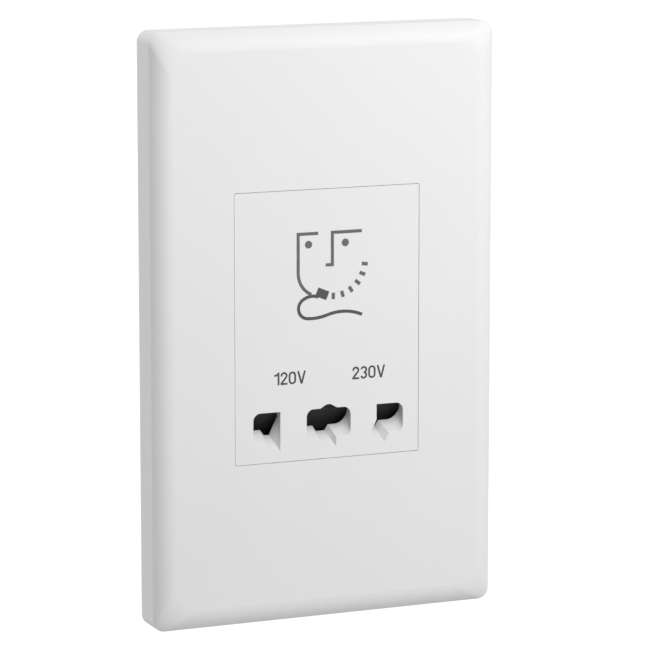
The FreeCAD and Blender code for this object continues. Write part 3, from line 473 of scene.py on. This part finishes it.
def dress_cad_nodes():
    """Give every CAD node its finish, smooth within each CAD face."""
    for name, node in nodes.items():
        node.data.materials.clear()
        node.data.materials.append(finishes[NODE_FINISHES[name]])
        node.data.polygons.foreach_set("use_smooth", [True] * len(node.data.polygons))


def add_piece(name, mesh, finish):
    """Link a finished mesh as a piece that rides on the socket's fixed body."""
    piece = bpy.data.objects.new(name, mesh)
    bpy.context.scene.collection.objects.link(piece)
    mesh.materials.clear()
    mesh.materials.append(finishes[finish])
    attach(piece, "socket")
    return piece


def mesh_from(name, shape):
    """Turn a bmesh into a mesh whose faces point outwards."""
    bmesh.ops.recalc_face_normals(shape, faces=shape.faces)
    mesh = bpy.data.meshes.new(name)
    shape.to_mesh(mesh)
    shape.free()
    return mesh


panel_low, panel_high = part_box("socket_panel")
panel_middle = Vector(((panel_low.x + panel_high.x) / 2, panel_low.y, (panel_low.z + panel_high.z) / 2))


def on_panel(x, z):
    """Point on the panel's face, from millimetres about its middle."""
    return panel_middle + Vector((x * MM, 0, z * MM))


def draw_stroke(print_shape, start, heading, moves, width=STROKE_W, layer=0):
    """Flat stroke from a start in millimetres: each move is a length and a turn in degrees."""
    middle = on_panel(*start) - Vector((0, layer * INK_LAYER, 0))
    turned = Matrix.Rotation(math.radians(heading), 4, (0, -1, 0))
    along = turned @ Vector((1, 0, 0))
    left = turned @ Vector((0, 0, 1))
    corners = [print_shape.verts.new(middle + side * left * width * MM / 2) for side in (1, -1)]
    tip = [print_shape.edges.new(corners)]
    for length, turn in moves:
        if turn:
            radius = length * MM / math.radians(turn)
            made = bmesh.ops.spin(
                print_shape, geom=corners + tip, cent=middle + left * radius, axis=(0, -1, 0),
                angle=math.radians(turn), steps=math.ceil(abs(turn) / SPIN_STEP), use_duplicate=False,
            )["geom_last"]
        else:
            made = bmesh.ops.extrude_edge_only(print_shape, edges=tip)["geom"]
        corners = [item for item in made if isinstance(item, bmesh.types.BMVert)]
        tip = [item for item in made if isinstance(item, bmesh.types.BMEdge)]
        if turn:
            swing = Matrix.Rotation(math.radians(turn), 4, (0, -1, 0))
            along = swing @ along
            left = swing @ left
        else:
            tip = [edge for edge in tip if all(vert in corners for vert in edge.verts)]
            bmesh.ops.translate(print_shape, verts=corners, vec=along * length * MM)
        middle = sum((vert.co for vert in corners), Vector()) / len(corners)


def raise_print(name, shape, finish):
    """Turn flat strokes into a film of ink that stands a hair proud of the panel."""
    bmesh.ops.remove_doubles(shape, verts=shape.verts, dist=WELD)
    bmesh.ops.translate(shape, verts=shape.verts, vec=(0, INK_SINK, 0))
    lifted = bmesh.ops.extrude_face_region(shape, geom=shape.faces[:], use_keep_orig=True)["geom"]
    lifted_verts = [item for item in lifted if isinstance(item, bmesh.types.BMVert)]
    bmesh.ops.translate(shape, verts=lifted_verts, vec=(0, -INK_SINK - INK_RISE, 0))
    add_piece(name, mesh_from(name, shape), finish)


def draw_sign_face():
    """The common sign for a shaver outlet: brows, cheek, nose, eyes and stubble."""
    shape = bmesh.new()
    edge = STROKE_W / 2
    draw_stroke(shape, (LEFT_BROW_END, BROW_Z), LEFTWARDS, [(LEFT_BROW_END - CHEEK_X + edge, 0)])
    draw_stroke(shape, (CHEEK_X, BROW_Z - edge), DOWNWARDS, [(CHEEK_L, 0), CHEEK_BEND], layer=1)
    draw_stroke(shape, (RIGHT_BROW_END, BROW_Z), LEFTWARDS, [(RIGHT_BROW_END - NOSE_X + edge, 0)])
    draw_stroke(shape, (NOSE_X, BROW_Z - edge), DOWNWARDS, [(NOSE_L, 0)], layer=1)
    nose_tip = (NOSE_X + edge, BROW_Z - 2 * edge - NOSE_L)
    draw_stroke(shape, nose_tip, LEFTWARDS, [(NOSTRIL_L + 2 * edge, 0)], layer=2)
    for index in range(STUBBLE_COUNT):
        heading = DOWNWARDS + index * STUBBLE_STEP
        reach = STUBBLE_R - STUBBLE_L / 2
        start_x = STUBBLE_MIDDLE[0] + reach * math.cos(math.radians(heading))
        start_z = STUBBLE_MIDDLE[1] + reach * math.sin(math.radians(heading))
        draw_stroke(shape, (start_x, start_z), heading, [(STUBBLE_L, 0)], STUBBLE_W)
    for place in EYE_PLACES:
        upright = Matrix.Translation(on_panel(*place)) @ Matrix.Rotation(math.radians(90), 4, "X")
        bmesh.ops.create_circle(
            shape, cap_ends=True, radius=EYE_R * MM, segments=EYE_SEGMENTS, matrix=upright
        )
    raise_print("panel_sign_face", shape, "sign_ink")


def draw_sign_razor():
    """The sign's razor head and its flex."""
    shape = bmesh.new()
    draw_stroke(shape, FLEX_START, FLEX_HEADING, FLEX_BENDS)
    draw_stroke(shape, RAZOR_START, RAZOR_HEADING, [(RAZOR_L, 0)], RAZOR_W, layer=1)
    raise_print("panel_sign_razor", shape, "razor_ink")


def arc(radius, turn):
    """Pen move round an arc, as a length and a turn in degrees."""
    return radius * math.radians(abs(turn)), turn


def figure_strokes():
    """Width of each figure, and its strokes as start, heading and moves."""
    edge = FIGURE_PEN / 2
    oval_straight = 1 - 2 * edge - 2 * OVAL_R
    oval_w = 2 * (OVAL_R + edge)
    bowl_w = 2 * (BOWL_R + edge)
    bowl_top = 1 - edge - BOWL_R
    bowl_start = math.radians(THREE_TURN - 90)
    three_x = edge + BOWL_R + BOWL_R * math.cos(bowl_start)
    three_z = bowl_top + BOWL_R * math.sin(bowl_start)
    slope_x = VEE_W / 2 - edge
    slope = math.degrees(math.atan2(1, slope_x))
    slope_l = math.hypot(1, slope_x)
    return {
        "0": (oval_w, [
            ((edge, edge + OVAL_R), UPWARDS, [(oval_straight, 0), arc(OVAL_R, -180)] * 2),
        ]),
        "1": (ONE_STEM_X + edge, [
            ((0, ONE_FLAG_Z), RIGHTWARDS, ONE_FLAG),
            ((ONE_STEM_X, 0), UPWARDS, [(1, 0)]),
        ]),
        "2": (bowl_w, [
            ((edge, bowl_top - TWO_LEAD_IN), UPWARDS,
             [(TWO_LEAD_IN, 0), arc(BOWL_R, -TWO_TURN), (TWO_SLANT_L, 0)]),
            ((0, edge), RIGHTWARDS, [(bowl_w, 0)]),
        ]),
        "3": (bowl_w, [
            ((three_x, three_z), THREE_TURN - 180, [arc(BOWL_R, -THREE_TURN)]),
            ((edge + BOWL_R, edge + 2 * BOWL_R), RIGHTWARDS, [arc(BOWL_R, -THREE_TURN)]),
        ]),
        "V": (VEE_W, [
            ((edge, 1), -slope, [(slope_l, 0)]),
            ((2 * slope_x + edge, 1), slope - 180, [(slope_l, 0)]),
        ]),
    }


def draw_volts(side, words, left_x, low_z):
    """Plain voltage figures over one outer aperture."""
    strokes = figure_strokes()
    shape = bmesh.new()
    pen_x = left_x
    for figure in words:
        width, lines = strokes[figure]
        for layer, (start, heading, moves) in enumerate(lines):
            place = (pen_x + start[0] * FIGURE_H, low_z + start[1] * FIGURE_H)
            sized = [(length * FIGURE_H, turn) for length, turn in moves]
            draw_stroke(shape, place, heading, sized, FIGURE_PEN * FIGURE_H, layer)
        pen_x += (width + FIGURE_GAP) * FIGURE_H
    raise_print("panel_volts_" + side, shape, "volts_ink")


def cut_threads():
    """The box screws with a real thread behind the frame, in place of their plain shanks."""
    studs = next(mount for mount in frame["record"]["mounts"] if mount["name"] == "box_fixing")["dims"]
    crest_r = studs["stud_r_mm"] * MM
    half_pitch = studs["spacing_y_mm"] * MM / 2
    thread_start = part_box("mounting_frame")[1].y
    turns = int((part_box("box_screws")[1].y - thread_start) / THREAD_PITCH) - 1
    shape = bmesh.new()
    shape.from_mesh(nodes["box_screws"].data)
    bmesh.ops.remove_doubles(shape, verts=shape.verts, dist=WELD)
    whole = shape.verts[:] + shape.edges[:] + shape.faces[:]
    waist_end = Vector((0, thread_start - THREAD_PITCH / 4, 0))
    bmesh.ops.bisect_plane(shape, geom=whole, plane_co=waist_end, plane_no=(0, 1, 0), clear_outer=True)
    for z in (-half_pitch, half_pitch):
        profile = []
        for index in range(-THREAD_RUN_IN, 2 * turns + 1):
            radius = crest_r if index % 2 else crest_r - THREAD_DEPTH
            profile.append(shape.verts.new((radius, thread_start + index * THREAD_PITCH / 2, z)))
        edges = [shape.edges.new(pair) for pair in zip(profile, profile[1:])]
        bmesh.ops.spin(
            shape, geom=profile + edges, cent=(0, 0, z), axis=(0, 1, 0), angle=math.tau,
            dvec=(0, THREAD_PITCH / THREAD_STEPS, 0), steps=THREAD_STEPS, use_duplicate=False,
        )
    bmesh.ops.remove_doubles(shape, verts=shape.verts, dist=WELD)
    rims = [edge for edge in shape.edges if edge.is_boundary]
    bmesh.ops.holes_fill(shape, edges=rims, sides=0)
    screws = add_piece("threaded_box_screws", mesh_from("threaded_box_screws", shape), "screw_zinc")
    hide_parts("box_screws")


def wind_springs():
    """The return springs as wound wire."""
    low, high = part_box("shutter_springs")
    middle_y = (low.y + high.y) / 2
    coil_r = (high.y - low.y) / 2 - SPRING_WIRE_R
    reach_x = high.x - coil_r - SPRING_WIRE_R
    length = high.z - low.z - 2 * SPRING_WIRE_R
    steps = SPRING_TURNS * SPRING_STEPS
    shape = bmesh.new()
    for x in (-reach_x, reach_x):
        start = Vector((x + coil_r, middle_y, low.z + SPRING_WIRE_R))
        across = Matrix.Translation(start) @ Matrix.Rotation(math.radians(90), 4, "X")
        ring = bmesh.ops.create_circle(
            shape, segments=SPRING_WIRE_SIDES, radius=SPRING_WIRE_R, matrix=across
        )["verts"]
        edges = list({edge for vert in ring for edge in vert.link_edges})
        bmesh.ops.spin(
            shape, geom=ring + edges, cent=(x, middle_y, start.z), axis=(0, 0, 1),
            angle=math.tau * SPRING_TURNS, dvec=(0, 0, length / steps), steps=steps, use_duplicate=False,
        )
    rims = [edge for edge in shape.edges if edge.is_boundary]
    bmesh.ops.holes_fill(shape, edges=rims, sides=0)
    mesh = mesh_from("wound_springs", shape)
    mesh.polygons.foreach_set("use_smooth", [True] * len(mesh.polygons))
    springs = add_piece("wound_springs", mesh, "spring_steel")
    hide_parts("shutter_springs")
    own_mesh(springs)


def seen_directly(tree):
    """1 for rays from the camera and for mirror or glass rays, 0 for light that falls on other things."""
    path = tree.nodes.new("ShaderNodeLightPath")
    total = path.outputs["Is Camera Ray"]
    for label in ("Is Glossy Ray", "Is Transmission Ray"):
        larger = tree.nodes.new("ShaderNodeMath")
        larger.operation = "MAXIMUM"
        tree.links.new(total, larger.inputs[0])
        tree.links.new(path.outputs[label], larger.inputs[1])
        total = larger.outputs["Value"]
    return total


def lay_floor():
    """Pale floor below the socket: white to the camera, but still darkened by shadow."""
    shape = bmesh.new()
    level = Matrix.Translation((0, 0, cad_box[0].z - FLOOR_DROP))
    bmesh.ops.create_grid(shape, x_segments=1, y_segments=1, size=FLOOR_SIZE / 2, matrix=level)
    mesh = mesh_from("floor", shape)
    floor = bpy.data.objects.new("floor", mesh)
    bpy.context.scene.collection.objects.link(floor)
    material = bpy.data.materials.new("floor_white")
    material.use_nodes = True
    tree = material.node_tree
    shader = tree.nodes["Principled BSDF"]
    shader.inputs["Base Color"].default_value = (*FLOOR_COLOUR, 1)
    shader.inputs["Roughness"].default_value = FLOOR_ROUGHNESS
    shader.inputs["Emission Color"].default_value = WHITE
    lift = tree.nodes.new("ShaderNodeMath")
    lift.operation = "MULTIPLY"
    lift.inputs[1].default_value = FLOOR_LIFT
    tree.links.new(seen_directly(tree), lift.inputs[0])
    tree.links.new(lift.outputs["Value"], shader.inputs["Emission Strength"])
    mesh.materials.append(material)


def set_world():
    """Even studio light that shows as white."""
    world = bpy.data.worlds.new("studio")
    bpy.context.scene.world = world
    world.use_nodes = True
    tree = world.node_tree
    background = tree.nodes["Background"]
    background.inputs["Color"].default_value = WHITE
    level = tree.nodes.new("ShaderNodeMapRange")
    level.inputs["To Min"].default_value = AMBIENT
    level.inputs["To Max"].default_value = 1.0
    tree.links.new(seen_directly(tree), level.inputs["Value"])
    tree.links.new(level.outputs["Result"], background.inputs["Strength"])


def hang_light(name, place, size, power):
    """Soft square lamp that looks at the socket."""
    lamp = bpy.data.lights.new(name, "AREA")
    lamp.size = size
    lamp.energy = power
    light = bpy.data.objects.new(name, lamp)
    light.location = place
    light.rotation_mode = "QUATERNION"
    light.rotation_quaternion = (-place).to_track_quat("-Z", "Y")
    bpy.context.scene.collection.objects.link(light)


def set_camera():
    """Camera at the photograph's viewing angle."""
    data = bpy.data.cameras.new("camera")
    data.sensor_width = CAMERA_SENSOR
    data.lens = CAMERA_LENS
    yaw, pitch = math.radians(CAMERA_YAW), math.radians(CAMERA_PITCH)
    away = Vector((-math.sin(yaw) * math.cos(pitch), -math.cos(yaw) * math.cos(pitch), math.sin(pitch)))
    camera = bpy.data.objects.new("camera", data)
    camera.location = CAMERA_TARGET + away * CAMERA_DISTANCE
    camera.rotation_mode = "QUATERNION"
    camera.rotation_quaternion = (-away).to_track_quat("-Z", "Y")
    bpy.context.scene.collection.objects.link(camera)
    bpy.context.scene.camera = camera


dress_cad_nodes()
draw_sign_face()
draw_sign_razor()
for side, (words, left_x, low_z) in VOLTS.items():
    draw_volts(side, words, left_x, low_z)
cut_threads()
wind_springs()
lay_floor()
set_world()
hang_light("key", KEY_PLACE, KEY_SIZE, KEY_POWER)
hang_light("overhead", OVERHEAD_PLACE, OVERHEAD_SIZE, OVERHEAD_POWER)
set_camera()
bpy.context.scene.view_settings.view_transform = "Standard"
